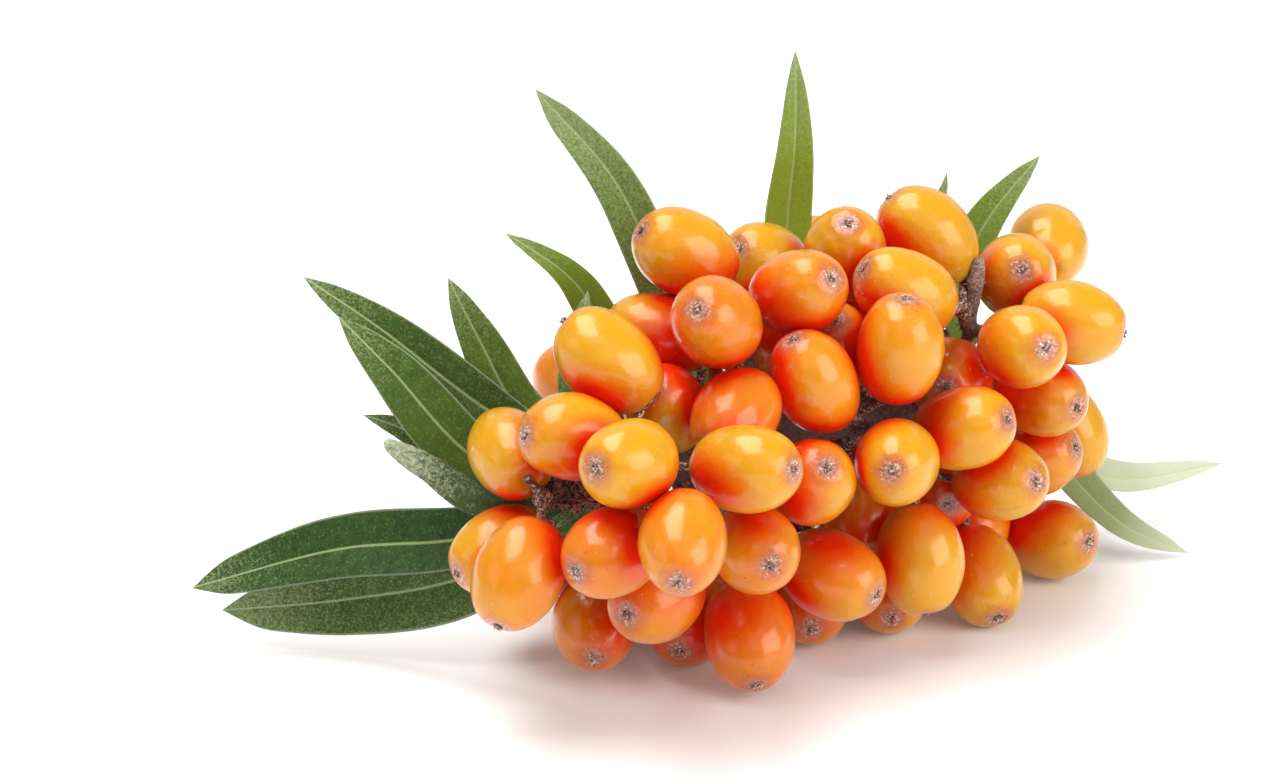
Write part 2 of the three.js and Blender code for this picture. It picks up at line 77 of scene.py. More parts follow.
# ---- Settings ----
class SprigBerrySettings(bpy.types.PropertyGroup):
    """Sizes and colours of the berries and their stalks."""

    ripe: colour("Ripe skin", "#D09A14", "Skin of a fully ripe berry")
    deep: colour("Deep skin", "#D27A0C", "Skin where the flesh below is thicker and redder")
    # Painted shade: skin that other berries shade is painted this red.
    painted_shade_red: colour("Painted shade red", "#DE2C02", "Skin that another berry shades, which ripens reddest")
    pale: colour("Pale skin", "#DCA830", "Skin near the stalk, which ripens last")
    blush: colour("Blush", "#B4503A", "The brownish halo round the scurf")
    scurf: colour("Silver scurf", "#EADACB", "Silvery scales round the tip")
    dull: colour("Dull scurf", "#A8766A", "Older scales, between silver and rust")
    rust: colour("Rusty scurf", "#5C3020", "Brown scales round the tip and the specks over the skin")
    gloss: colour("Gloss", "#FFD8A0", "The tint of the skin's own gloss, under its clear wax")
    scar: colour("Flower scar", "#6C4A40", "The dried remains of the flower on the tip")
    stalk: colour("Stalk", "#86584A", "The short woody stalk")
    scar_radius: length("Scar radius", 0.36, "Half the width of the dried flower remains")
    patch_radius: length("Patch radius", 1.5, "How far the scurf spreads from the tip")
    halo_radius: length("Halo radius", 2.2, "How far the blush spreads from the tip")
    crust: length("Crust", 0.06, "How far the scurf stands out and in")
    stalk_radius: length("Stalk radius", 0.42, "Half the thickness of a stalk")
    bud_radius: length("Bud radius", 1.0, "Half the width of the bud that carries the stalks")
    around: amount("Around", 52, "Faces round a berry")
    rings: amount("Rings", 34, "Rings from tip to stalk")
    unevenness: length("Unevenness", 0.13, "How far the skin departs from a true oval")


class SprigLeafSettings(bpy.types.PropertyGroup):
    """Sizes and colours of the leaves."""

    green: colour("Upper side", "#345620", "The upper side of a leaf")
    dark: colour("Upper side, dark", "#1A300E", "The darker patches of the upper side")
    # Partly a young leaf's own yellower green, and partly painted light: the light that comes through a
    # blade, painted as yellow-green.
    fresh_and_backlit: colour("Fresh green and painted backlight", "#8AA82C", "A young leaf, or the part where light comes through")
    rib: colour("Midrib", "#A6B984", "The midrib")
    margin: colour("Margin", "#D6DECA", "The thin margin, and the felt of the most silvery leaves")
    silver: colour("Silver scales", "#98A678", "The scales that dot the upper side")
    felt: colour("Silver felt", "#B0BCA2", "The scales that cover the lower side")
    under: colour("Under side", "#385024", "The lower side between its scales")
    rust: colour("Rusty scales", "#8A6040", "The few rusty scales of the lower side")
    thickness: length("Thickness", 0.3, "The blade's thickness")
    rib_width: length("Midrib width", 0.42, "The midrib's width near the stalk")
    stalk_radius: length("Stalk radius", 0.42, "Half the thickness of the leaf's own stalk")
    waviness: bpy.props.FloatProperty(
        name="Waviness", description="The margins' ripple, as a share of the half width", default=0.05
    )
    columns: amount("Columns", 22, "Faces across a blade")
    rows: amount("Rows", 84, "Faces along a blade")


class SprigBranchSettings(bpy.types.PropertyGroup):
    """Sizes and colours of the branch."""

    bark: colour("Bark", "#5C3A36", "The bark's ridges")
    groove: colour("Bark, grooves", "#300F16", "The bark's grooves")
    scale: colour("Bark scales", "#C0ACA0", "The silvery scales that cling to young bark")
    bristle: colour("Bristles", "#B0685C", "The lit ends of the bristles at the tip")
    sapwood: colour("Sapwood", "#C9A878", "The pale wood of the cut end")
    growth: colour("Growth rings", "#8E6A44", "The darker wood of the cut end")
    voxel: length("Grain of the mesh", 0.24, "Size of the faces that carry the bark's relief")
    knobs: length("Knobs", 0.16, "Height of the knobs left by buds")
    ridges: length("Ridges", 0.07, "Height of the fine ridges of the bark")
    swelling: length("Swelling", 0.6, "How much thicker the wood is where it comes clear of the berries")
    # Painted shade: below this height the bark's silvery scales are thinned out, darkening the wood where the
    # berries shade it.
    clear_height: length("Clear height", 35, "Above this the wood is clear of the berries and silvery")
    scales: amount("Scales", 900, "Loose bark scales")
    bristles: amount("Bristles", 1500, "Bristles at the stem's tip")
    bristle_length: length("Bristle length", 1.35, "The longest bristle")
    brush_reach: length("Brush reach", 9, "How far the bristles go down the stem from its tip")


class SprigStageSettings(bpy.types.PropertyGroup):
    """The floor, the light and the camera."""

    glow: bpy.props.FloatProperty(name="Glow", default=0.05, min=0, description="The light under the floor")
    floor: colour("Floor", "#F5F8FF", "The plain pale floor")
    room: colour("Room", "#FFFAF4", "The light that the white room sends back from all sides")
    room_light: bpy.props.FloatProperty(
        name="Room light", description="How bright the room is", default=0.28, min=0
    )
    aim: bpy.props.FloatVectorProperty(
        name="Aim", description="The point that the camera looks at", subtype="XYZ", unit="LENGTH",
        default=(-9.45 * MM, -2.14 * MM, 27.03 * MM),
    )
    distance: length("Camera distance", 420, "From the camera to the point that it looks at")
    elevation: bpy.props.FloatProperty(
        name="Elevation", description="How far the camera looks down", subtype="ANGLE",
        default=math.radians(18),
    )
    lens: bpy.props.FloatProperty(name="Lens", description="Focal length", unit="CAMERA", default=118.1)


# ---- Reading the frame ----
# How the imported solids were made: how many sides they have, and the shapes that they follow.
BERRY_SIDES = 8
BERRY_END_ANGLE = math.pi / 7  # how far a berry's first ring is from its end
BERRY_FULLNESS = 0.92  # the power of the sine that gives a berry's outline; 1 is an ellipse
LEAF_RING = 6
LEAF_FOLD = 0.22  # how far a leaf's margins rise above its midrib, as a share of the half width
STEM_SIDES = 10
PACKED_BUD_RADIUS = 0.9 * MM
PACKED_PETIOLE_RADIUS = 0.55 * MM
BUD_EDGE, BUD_DEPTH = 1.05146, 0.79465  # an icosahedron's edge, and its middle's depth, for a radius of 1
WELD = 0.002 * MM  # corners this close are one
EDGE_SLACK = 0.01 * MM  # how far two equal edges of a bud may differ
FAN_SLACK = 0.03 * MM  # and those of a berry's end
FAN_HEIGHT = 0.1 * MM  # a berry's end rises at least this far above its first ring


def merged_copy(node):
    """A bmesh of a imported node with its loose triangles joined."""
    bm = bmesh.new()
    bm.from_mesh(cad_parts[node].data)
    bmesh.ops.remove_doubles(bm, verts=bm.verts, dist=WELD)
    return bm


def neighbours(vert):
    return [edge.other_vert(vert) for edge in vert.link_edges]


def mean(points):
    points = list(points)
    return sum(points, Vector()) / len(points)


def berries_in(node, bud):
    """Each berry of a node, as its middle, the way its tip points, its half length and its half width.
    An end of a berry is the middle of a fan of equal edges, and the end by the bud is no tip."""
    found = []
    bm = merged_copy(node)
    for vert in bm.verts:
        ring = neighbours(vert)
        if len(ring) != BERRY_SIDES:
            continue
        middle = mean(other.co for other in ring)
        spans = [(other.co - vert.co).length for other in ring]
        radii = [(other.co - middle).length for other in ring]
        height = (vert.co - middle).length
        if max(spans) - min(spans) > FAN_SLACK or max(radii) - min(radii) > FAN_SLACK or height < FAN_HEIGHT:
            continue
        points = (vert.co - middle).normalized()
        half_length = height / (1 - math.cos(BERRY_END_ANGLE))
        half_width = radii[0] / math.sin(BERRY_END_ANGLE) ** BERRY_FULLNESS
        found.append((vert.co - points * half_length, points, half_length, half_width))
    bm.free()
    tips = []
    for berry in sorted(found, key=lambda b: -(b[0] + b[1] * b[2] - bud).length):
        if all((berry[0] - other[0]).length > berry[3] for other in tips):
            tips.append(berry)
    return tips


def bud_in(node, radius):
    """The middle of a node's bud, an icosahedron of this radius: each face still whole points at it."""
    bm = merged_copy(node)
    edge, depth = radius * BUD_EDGE, radius * BUD_DEPTH
    whole = [f for f in bm.faces if all(abs(e.calc_length() - edge) < EDGE_SLACK for e in f.edges)]
    middle = mean(f.calc_center_median() - f.normal * depth for f in whole)
    bm.free()
    return middle


def rings_from(pole):
    """The rings of vertices round a pole, one after the other."""
    rings = [[pole]]
    seen = {pole}
    while True:
        after = []
        for vert in rings[-1]:
            for other in neighbours(vert):
                if other not in seen:
                    seen.add(other)
                    after.append(other)
        if not after:
            return rings
        rings.append(after)


def in_order(ring):
    """A ring's vertices in order round it."""
    loop = [ring[0]]
    while len(loop) < len(ring):
        loop.append(next(n for n in neighbours(loop[-1]) if n in ring and n not in loop))
    return loop


def leaf_stations(node):
    """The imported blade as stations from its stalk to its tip. Each holds the midrib's point, the ways along
    and across, the way that the upper side faces, and the half width."""
    bm = merged_copy(node)
    shapes = []
    for pole in bm.verts:
        if len(pole.link_edges) == LEAF_RING:
            rings = rings_from(pole)
            if [len(r) for r in rings] == [1] + [LEAF_RING] * (len(rings) - 2) + [1]:
                rise = (pole.co - mean(v.co for v in rings[1])).length
                shapes.append((rise, rings))
    rings = min(shapes, key=lambda shape: shape[0])[1]  # the stalk's end is flat, and the tip is not
    stations = []
    for ring in rings[1:-1]:
        loop = in_order(ring)
        pairs = [(i, j) for i in range(LEAF_RING) for j in range(i + 1, LEAF_RING) if j - i in (2, 4)]
        i, j = max(pairs, key=lambda pair: (loop[pair[0]].co - loop[pair[1]].co).length)
        inner, outer = loop[i + 1 : j], loop[j + 1 :] + loop[:i]
        upper, lower = (inner, outer) if len(inner) == 3 else (outer, inner)
        stations.append(
            {
                "middle": (upper[1].co + lower[0].co) / 2,
                "face": upper[1].co - lower[0].co,
                "half": (loop[i].co - loop[j].co).length / 2,
            }
        )
    stations.append({"middle": rings[-1][0].co.copy(), "face": stations[-1]["face"], "half": 0.0})
    for before, here, after in zip([stations[0]] + stations, stations, stations[1:] + [stations[-1]]):
        here["along"] = (after["middle"] - before["middle"]).normalized()
        here["across"] = here["along"].cross(here["face"]).normalized()
        here["face"] = here["across"].cross(here["along"])
    bm.free()
    return stations


# ---- Making meshes and materials ----
# The kinds of node that most patterns are made of.
NOISE, RANGE, MATHS, MIX = "ShaderNodeTexNoise", "ShaderNodeMapRange", "ShaderNodeMath", "ShaderNodeMix"
# A mix of two colours: its factor, its two colours and its result, by the node's own numbering.
FACTOR, FIRST, SECOND, RESULT = 0, 6, 7, 2


def add(material, kind, inputs=None, output=0, **settings):
    """Adds a node to a material and gives one of its outputs, or all of them for None. An input that is
    another node's output is linked, and any other is its value."""
    tree = material.node_tree
    node = tree.nodes.new(kind)
    for name, value in settings.items():
        setattr(node, name, value)
    for key, value in (inputs or {}).items():
        if isinstance(value, bpy.types.NodeSocket):
            tree.links.new(value, node.inputs[key])
        else:
            node.inputs[key].default_value = value
    return node.outputs if output is None else node.outputs[output]


def new_material(name):
    """A material, and the object's own space, which its patterns lie in."""
    material = bpy.data.materials.get(name) or bpy.data.materials.new(name)
    material.use_nodes = True
    material.node_tree.nodes.clear()
    return material, add(material, "ShaderNodeTexCoord", output="Object")


def finish_material(material, base, coats, surface, relief=None):
    """Ends a material. Coats of colour lie over its base colour, each by its own share. Its relief is a
    height, how strongly that shows, and how many millimetres deep it is."""
    for share, tint in coats:
        base = add(material, MIX, {FACTOR: share, FIRST: base, SECOND: tint}, RESULT, data_type="RGBA")
    surface["Base Color"] = base
    if relief:
        height, strength, depth = relief
        surface["Normal"] = add(
            material, "ShaderNodeBump", {"Height": height, "Strength": strength, "Distance": depth * MM}
        )
    shader = add(material, "ShaderNodeBsdfPrincipled", surface)
    add(material, "ShaderNodeOutputMaterial", {"Surface": shader}, output=None)
    return material


def per_metre(millimetres):
    """The scale of a texture whose grain has this size."""
    return 1 / (millimetres * MM)


def scale_cells(material, space, millimetres):
    """The tiny scales that every part of the shrub wears, as cells this wide. Gives the distance from a
    cell's middle, and three random numbers that each cell has for itself."""
    size = per_metre(millimetres)
    cells = add(material, "ShaderNodeTexVoronoi", {"Vector": space, "Scale": size}, output=None)
    return cells["Distance"], add(material, "ShaderNodeSeparateColor", {"Color": cells["Color"]}, None)


def link_piece(bm, name, materials, slot, *nodes):
    """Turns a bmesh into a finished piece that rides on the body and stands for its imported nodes."""
    for face in bm.faces:
        face.smooth = True
    mesh = bpy.data.meshes.new(name)
    bm.to_mesh(mesh)
    bm.free()
    for material in materials:
        mesh.materials.append(material)
    piece = bpy.data.objects.new(name, mesh)
    bpy.context.scene.collection.objects.link(piece)
    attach(piece, BODY)
    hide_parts(*nodes)


def join(bm, other):
    """Adds one bmesh to another and frees it."""
    mesh = bpy.data.meshes.new("joining")
    other.to_mesh(mesh)
    other.free()
    bm.from_mesh(mesh)
    bpy.data.meshes.remove(mesh)


def turn_to(direction):
    """The turn that takes +Z to a direction."""
    return direction.to_track_quat("Z", "Y").to_matrix()


def paint(verts, index):
    """Gives the faces of these vertices one of the piece's materials."""
    for face in {face for vert in verts for face in vert.link_faces}:
        face.material_index = index


ROUND, ROUGH, SPLINTER = 10, 5, 4  # the sides of a stalk, of a flap of the dried flower, and of a bristle


def rod(bm, start, end, start_radius, end_radius, sides, index):
    """A straight tapered rod with closed ends."""
    run = end - start
    place = Matrix.Translation((start + end) / 2) @ turn_to(run).to_4x4()
    made = bmesh.ops.create_cone(
        bm, cap_ends=True, cap_tris=True, segments=sides, radius1=start_radius, radius2=end_radius,
        depth=run.length, matrix=place,
    )["verts"]
    paint(made, index)
    return made


def roughen(verts, height, grain, seed):
    """Moves vertices out and in by smooth noise of this height and grain, its own for each seed."""
    noise.seed_set(1)  # the same in each run
    shift = Vector((seed * 7.1, seed * 3.7, seed * 5.3))
    for vert in verts:
        vert.co += noise.noise_vector(vert.co / grain + shift) * height


# ---- Berries ----
SKIN, SCAR, STALK = 0, 1, 2
BERRY_LAYERS = ("tip_distance", "base_share", "tone", "shade_and_ripeness")  # what the skin's material reads
# Berries that are riper and redder than their neighbours (above 0), or yellower (below 0).
RIPENESS = {
    "01": -0.3, "03": -0.9, "04": -1, "06": -0.6, "07": 0.8, "08": -0.5, "09": -0.6, "10": 0.3, "11": 0.8,
    "16": 0.8, "17": 0.8, "20": -1, "22": 0.7, "27": 0.4, "28": 0.7, "29": -0.3, "30": -0.2, "32": -0.3,
    "33": -0.8, "34": -0.9, "36": -0.5, "38": -1,
}
RIPE_FLUSH = 0.13  # how much a ripeness of 1 adds to the painted shade's red
FINE_TIP = 1.35  # above 1 a berry's rings lie closer together at its tip
TIP_DIP, TIP_DIP_WIDTH = 0.3 * MM, 1.15  # the widths of the dips are in millimetres
DIMPLE, DIMPLE_WIDTH = 0.5 * MM, 0.9  # where the stalk goes in
DENTS, FINE_DENTS, FINE_SHARE = 4.2 * MM, 1.9 * MM, 0.4  # how wide the dents are
CRUST_GRAIN = 0.35 * MM
LEAN = 0.16  # how many millimetres a berry's middle usually stands off its axis
OVAL = 0.025  # how far from round a berry is at most, seen from its tip
FAR_FROM_TIP = 9 * MM  # where there is no scurf
SHADING_REACH = 16 * MM  # berries whose middles are farther off shade nothing
SCAR_SUNK = 0.45 * MM
FLAP_FOOT, FLAP_POINT = 0.13 * MM, 0.06 * MM  # half the width of a flap of the dried flower
STALK_SUNK = 0.7 * MM
STALK_SWELL, STALK_WAIST = 1.25, 0.9  # the stalk's thickness at its ends and between them, as shares
NECK = 0.3  # where between the berry and the bud its waist is


def skin_material(s):
    """Ripe sea buckthorn skin: a thin glossy wax over soft flesh that light sinks into, so that it glows
    orange.
    It is painted red where berries face each other, a painted shade. Silvery and rusty scales gather round
    the tip."""
    material, space = new_material("Sea buckthorn skin")
    tip, length_share, tone, shade_and_ripeness = (
        add(material, "ShaderNodeAttribute", output="Fac", attribute_name=name) for name in BERRY_LAYERS
    )

    # Ripeness: each berry its own tone, with soft clouds 5 mm wide and a paler stalk end; then painted shade
    # in red where other berries shade the skin, deepened by ripeness.
    clouds = add(material, NOISE, {"Vector": space, "Scale": per_metre(5), "Detail": 1})
    cloud_tone = add(material, MATHS, {0: clouds, 1: tone}, operation="ADD")
    deeper = add(material, RANGE, {"Value": cloud_tone, "From Min": 0.65, "From Max": 1.55})
    stalk_end = add(material, RANGE, {"Value": length_share, "From Min": 0.72, "To Max": 0.45})
    # Painted shade: the red share follows how much of the sky the berries beside it cover, plus each berry's
    # ripeness.
    redder = add(material, RANGE, {"Value": shade_and_ripeness, "From Min": 0.08, "From Max": 0.65})

    # Specks in loose drifts, most of them towards a berry's ends: rusty ones, and finer silvery ones.
    from_middle = add(material, MATHS, {0: length_share, 1: 0.5}, operation="SUBTRACT")
    off_middle = add(material, MATHS, {0: from_middle}, operation="ABSOLUTE")
    ends = add(
        material, RANGE,
        {"Value": off_middle, "From Min": 0.2, "From Max": 0.46, "To Min": 0.05, "To Max": 0.8},
    )
    drifts = add(material, NOISE, {"Vector": space, "Scale": per_metre(3.2), "Detail": 1, "Roughness": 0.6})
    specks = []
    for grain, none_at, most_at, tint in ((0.5, 0.4, 0.72, s.rust), (0.3, 0.62, 0.3, s.scurf)):
        distance, chances = scale_cells(material, space, grain)
        dot = add(
            material, RANGE,
            {"Value": distance, "From Min": 0.1, "From Max": 0.3, "To Min": 0.5, "To Max": 0},
        )
        drift = add(
            material, RANGE, {"Value": drifts, "From Min": none_at, "From Max": most_at, "To Max": 0.45}
        )
        share = add(material, MATHS, {0: drift, 1: ends}, operation="MULTIPLY")
        picked = add(material, MATHS, {0: chances[0], 1: share}, operation="LESS_THAN")
        speck = add(material, MATHS, {0: dot, 1: picked}, operation="MULTIPLY")
        specks.append((speck, tint))

    # A brownish halo round the tip, and in it a ragged felt of scales 0.2 mm wide: dull, silver and rusty.
    ragged = add(material, NOISE, {"Vector": space, "Scale": per_metre(0.8), "Detail": 3, "Roughness": 0.65})
    front = add(material, MATHS, {0: ragged, 1: 1.6 * MM, 2: tip}, operation="MULTIPLY_ADD")
    halo = add(
        material, RANGE,
        {"Value": front, "From Min": s.patch_radius + 0.2 * MM, "From Max": s.halo_radius + 1.2 * MM,
         "To Min": 0.7, "To Max": 0},
    )
    near = add(
        material, RANGE,
        {"Value": front, "From Min": s.patch_radius - 0.1 * MM, "From Max": s.patch_radius + 1.2 * MM,
         "To Min": 1.2, "To Max": 0},
    )
    _, chances = scale_cells(material, space, 0.2)
    chance = add(material, MATHS, {0: chances[0], 1: -0.5, 2: near}, operation="MULTIPLY_ADD")
    covered = add(material, RANGE, {"Value": chance, "From Max": 0.8, "To Max": 0.85})
    newer = add(material, RANGE, {"Value": chances[1], "From Min": 0.5, "To Max": 0.8})
    silver = add(material, MATHS, {0: newer, 1: near}, operation="MULTIPLY")
    rusty = add(material, RANGE, {"Value": chances[2], "From Min": 0.6, "From Max": 0.9, "To Max": 0.7})
    scales = s.dull
    for share, tint in ((silver, s.scurf), (rusty, s.rust)):
        scales = add(material, MIX, {FACTOR: share, FIRST: scales, SECOND: tint}, RESULT, data_type="RGBA")

    # Gloss is lost under the scales, and small dents 1.3 mm wide break it up.
    roughness = add(material, RANGE, {"Value": covered, "From Max": 0.85, "To Min": 0.3, "To Max": 0.75})
    dents = add(material, NOISE, {"Vector": space, "Scale": per_metre(1.3), "Detail": 3, "Roughness": 0.55})
    return finish_material(
        material, s.ripe,
        [(deeper, s.deep), (stalk_end, s.pale), (redder, s.painted_shade_red), *specks, (halo, s.blush),
         (covered, scales)],
        {"Roughness": roughness, "IOR": 1.5, "Specular IOR Level": 0.3, "Specular Tint": s.gloss,
         "Coat Weight": 0.8, "Coat Roughness": 0.19, "Coat IOR": 1.5, "Subsurface Weight": 0.7,
         "Subsurface Radius": (1, 0.32, 0.08), "Subsurface Scale": 2.8 * MM},
        (dents, 0.8, 0.2),
    )


def scar_material(s):
    """The dried flower: brittle brown tissue with pale frayed ends."""
    material, space = new_material("Dried flower remains")
    fray = add(material, NOISE, {"Vector": space, "Scale": per_metre(0.25), "Detail": 4, "Roughness": 0.7})
    pale = add(material, RANGE, {"Value": fray, "From Min": 0.5, "From Max": 0.62, "To Max": 0.9})
    return finish_material(material, s.scar, [(pale, s.scurf)], {"Roughness": 0.85}, (fray, 0.8, 0.08))


def stalk_material(s, bark):
    """Reddish brown stalk wood with a fine grain, flecked with silvery scales."""
    material, space = new_material("Stalk wood")
    grain = add(material, NOISE, {"Vector": space, "Scale": per_metre(0.4), "Detail": 4, "Roughness": 0.65})
    raised = add(material, RANGE, {"Value": grain, "From Min": 0.35, "From Max": 0.65})
    _, chances = scale_cells(material, space, 0.22)
    silver = add(material, RANGE, {"Value": chances[0], "From Min": 0.6, "From Max": 0.95, "To Max": 0.7})
    return finish_material(
        material, bark, [(raised, s.stalk), (silver, s.scurf)], {"Roughness": 0.75}, (grain, 0.7, 0.1)
    )


def shaded(point, out, berries):
    """How much of the sky over a point other berries cover, taking each as a ball."""
    cover = 0
    for middle, radius in berries:
        way = middle - point
        distance = way.length
        cover += max(0, out.dot(way)) / distance * min(1, radius / distance) ** 2
    return min(1, cover)


def add_berry(bm, s, berry, beside, ripeness, layers, rng):
    """One berry: an uneven oval with a shallow dip round its tip and a dimple at its stalk."""
    centre, points, half_length, half_width = berry
    tip_distance, base_share, tone, shade_and_ripeness = layers
    turn = turn_to(points) @ Matrix.Rotation(rng.uniform(0, 2 * math.pi), 3, "Z")
    seed = Vector((rng.uniform(-50, 50), rng.uniform(-50, 50), rng.uniform(-50, 50)))
    own_tone = rng.random() + ripeness
    lean = Vector((rng.gauss(0, LEAN), rng.gauss(0, LEAN), 0)) * MM
    oval = 1 + rng.uniform(-OVAL, OVAL)
    made = bmesh.ops.create_uvsphere(bm, u_segments=s.around, v_segments=s.rings, radius=1)["verts"]
    for vert in made:
        from_tip = math.acos(max(-1, min(1, vert.co.z))) / math.pi
        bearing = math.atan2(vert.co.y, vert.co.x)
        angle = math.pi * from_tip**FINE_TIP
        tip_side = angle < math.pi / 2
        radius = half_width * abs(math.sin(angle)) ** BERRY_FULLNESS
        height = half_length * math.cos(angle)
        across = radius / MM
        if tip_side:
            height -= TIP_DIP * math.exp(-((across / TIP_DIP_WIDTH) ** 2))
        else:
            height += DIMPLE * math.exp(-((across / DIMPLE_WIDTH) ** 2))
        local = Vector((radius * math.cos(bearing) * oval, radius * math.sin(bearing) / oval, height))
        away = noise.noise(local / DENTS + seed) + FINE_SHARE * noise.noise(local / FINE_DENTS + seed)
        local += local.normalized() * away * s.unevenness
        if tip_side:
            scaly = noise.noise(local / CRUST_GRAIN + seed) * math.exp(-((radius / s.patch_radius) ** 2))
            local.z += scaly * s.crust
        local += lean * (1 - (height / half_length) ** 2)
        vert.co = centre + turn @ local
        vert.co.z = max(vert.co.z, 0)
        vert[tip_distance] = math.hypot(radius, half_length - height) if tip_side else FAR_FROM_TIP
        vert[base_share] = from_tip**FINE_TIP
        vert[tone] = own_tone
        flank = radius / half_width**2
        out = turn @ Vector((flank * math.cos(bearing), flank * math.sin(bearing), height / half_length**2))
        # Painted shade: how much of the sky the berries beside it cover here, plus this berry's ripeness.
        vert[shade_and_ripeness] = shaded(vert.co, out.normalized(), beside) + RIPE_FLUSH * ripeness
    paint(made, SKIN)
    return turn


def add_scar(bm, s, berry, turn, rng):
    """The dried flower on the tip: a ragged collar with a few flaps that stand up or lie flat."""
    centre, points, half_length, _ = berry
    foot = centre + points * (half_length - SCAR_SUNK)
    width = s.scar_radius * rng.uniform(0.75, 1.15)
    height = rng.uniform(0.3, 0.55) * MM
    collar = rod(bm, foot, foot + points * height, width * 1.2, width * 0.4, ROUND, SCAR)
    roughen(collar, height=0.16 * MM, grain=0.3 * MM, seed=rng.uniform(0, 9))
    for i in range(rng.randint(3, 6)):
        bearing = 2 * math.pi * (i + rng.uniform(-0.4, 0.4)) / 5
        outward = turn @ Vector((math.cos(bearing), math.sin(bearing), 0))
        start = foot + outward * width * 0.7 + points * 0.2 * MM
        end = start + (outward + points * rng.uniform(0.3, 1.4)).normalized() * rng.uniform(0.2, 0.45) * MM
        flap = rod(bm, start, end, FLAP_FOOT, FLAP_POINT, ROUGH, SCAR)
        roughen(flap, height=0.07 * MM, grain=0.2 * MM, seed=i)


def add_stalk(bm, s, berry, bud, rng):
    """A stalk from the bud to the berry, which swells a little where it meets each."""
    centre, points, half_length, _ = berry
    end = centre - points * (half_length - STALK_SUNK)
    neck = end + (bud - end) * NECK
    thick, thin = s.stalk_radius * STALK_SWELL, s.stalk_radius * STALK_WAIST
    made = rod(bm, bud, neck, thick, thin, ROUND, STALK) + rod(bm, neck, end, thin, thick, ROUND, STALK)
    roughen(made, height=0.07 * MM, grain=0.5 * MM, seed=rng.uniform(0, 9))


def add_bud(bm, s, bud, rng):
    """The knot that carries the stalks, covered in small scales."""
    made = bmesh.ops.create_icosphere(
        bm, subdivisions=3, radius=s.bud_radius, matrix=Matrix.Translation(bud)
    )["verts"]
    paint(made, STALK)
    roughen(made, height=0.22 * MM, grain=0.55 * MM, seed=rng.uniform(0, 9))


class SPRIG_OT_berries(bpy.types.Operator):
    """Model the berries, in ones and twos, with their stalks and buds"""

    bl_idname = "sprig.berries"
    bl_label = "Model Berries"

    def execute(self, context):
        s = context.scene.sprig_berries
        bark = context.scene.sprig_branch.groove
        materials = [skin_material(s), scar_material(s), stalk_material(s, bark)]
        nodes = sorted(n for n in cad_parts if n.startswith("berry"))
        buds = {node: bud_in(node, PACKED_BUD_RADIUS) for node in nodes}
        found = {node: berries_in(node, buds[node]) for node in nodes}
        balls = [(berry[0], (berry[2] + berry[3]) / 2) for node in nodes for berry in found[node]]
        for node in nodes:
            number = node.rsplit("_", 1)[1]
            rng = random.Random(int(number))
            bm = bmesh.new()
            layers = [bm.verts.layers.float.new(name) for name in BERRY_LAYERS]
            for berry in found[node]:
                beside = [ball for ball in balls if 0 < (ball[0] - berry[0]).length < SHADING_REACH]
                turn = add_berry(bm, s, berry, beside, RIPENESS.get(number, 0), layers, rng)
                add_scar(bm, s, berry, turn, rng)
                add_stalk(bm, s, berry, buds[node], rng)
            add_bud(bm, s, buds[node], rng)
            link_piece(bm, f"berries_{number}", materials, "berry_skin", node)
        return {"FINISHED"}


# ---- Leaves ----
UPPER, LOWER = 0, 1
LEAF_LAYERS = ("rib_distance", "silvery", "fresh_and_backlit")  # what the upper side's material reads
# How silvery and how yellow-green a leaf is, where it differs from the rest; the yellow-green is partly its
# own fresh tone and partly painted light coming through the blade.
LEAF_TONES = {
    "leaf_top_1": (0.5, 0.45), "leaf_top_2": (0, 1.3), "leaf_top_3": (0.4, 0.6), "leaf_top_4": (0.2, 0.8),
    "leaf_left_1": (-0.4, 0), "leaf_left_2": (0, 0.1), "leaf_left_4": (-0.3, 0.2),
    "leaf_left_5": (-0.1, 0.4), "leaf_left_8": (-0.2, 0.9), "leaf_left_9": (0.3, 0.3),
    "leaf_right_1": (2.5, 0), "leaf_right_2": (1.75, 0),
}
PLAIN_TONE = (-0.2, 0.12)
BLUNT_LEAVES = ("leaf_left_6",)  # leaves that keep their width almost to the tip
SHOULDER = 0.7  # where a blunt leaf starts to round off, as a share of its length
FOLD_CURVE = 1.35  # the power by which a blade curves up from its midrib
RIPPLES_ACROSS, RIPPLES_ALONG = 1.3, 7
THIN_FOOT, THIN_RIB = 0.6 * MM, 1.2 * MM  # a blade narrower than this is thinner, and has less midrib
RIB_GROOVE, RIB_RIDGE = 0.16 * MM, 0.34 * MM  # how deep the midrib lies above, and stands out below
RIB_SPREAD, RIB_LOSS = 0.75, 0.7  # how wide its slopes are, and how much of it is lost by the tip
SILVERY_TIP, SILVERY_RISE = 0.68, 3  # where a leaf starts to be more silvery, and how fast
FRESH_AND_BACKLIT_LOSS = 0.6  # how much of its fresh green and painted light through the blade is lost by the tip
ROOT, SINK, UNDER = 0.9, 0.1, 0.3  # how many millimetres its stalk goes into the bark and below the blade


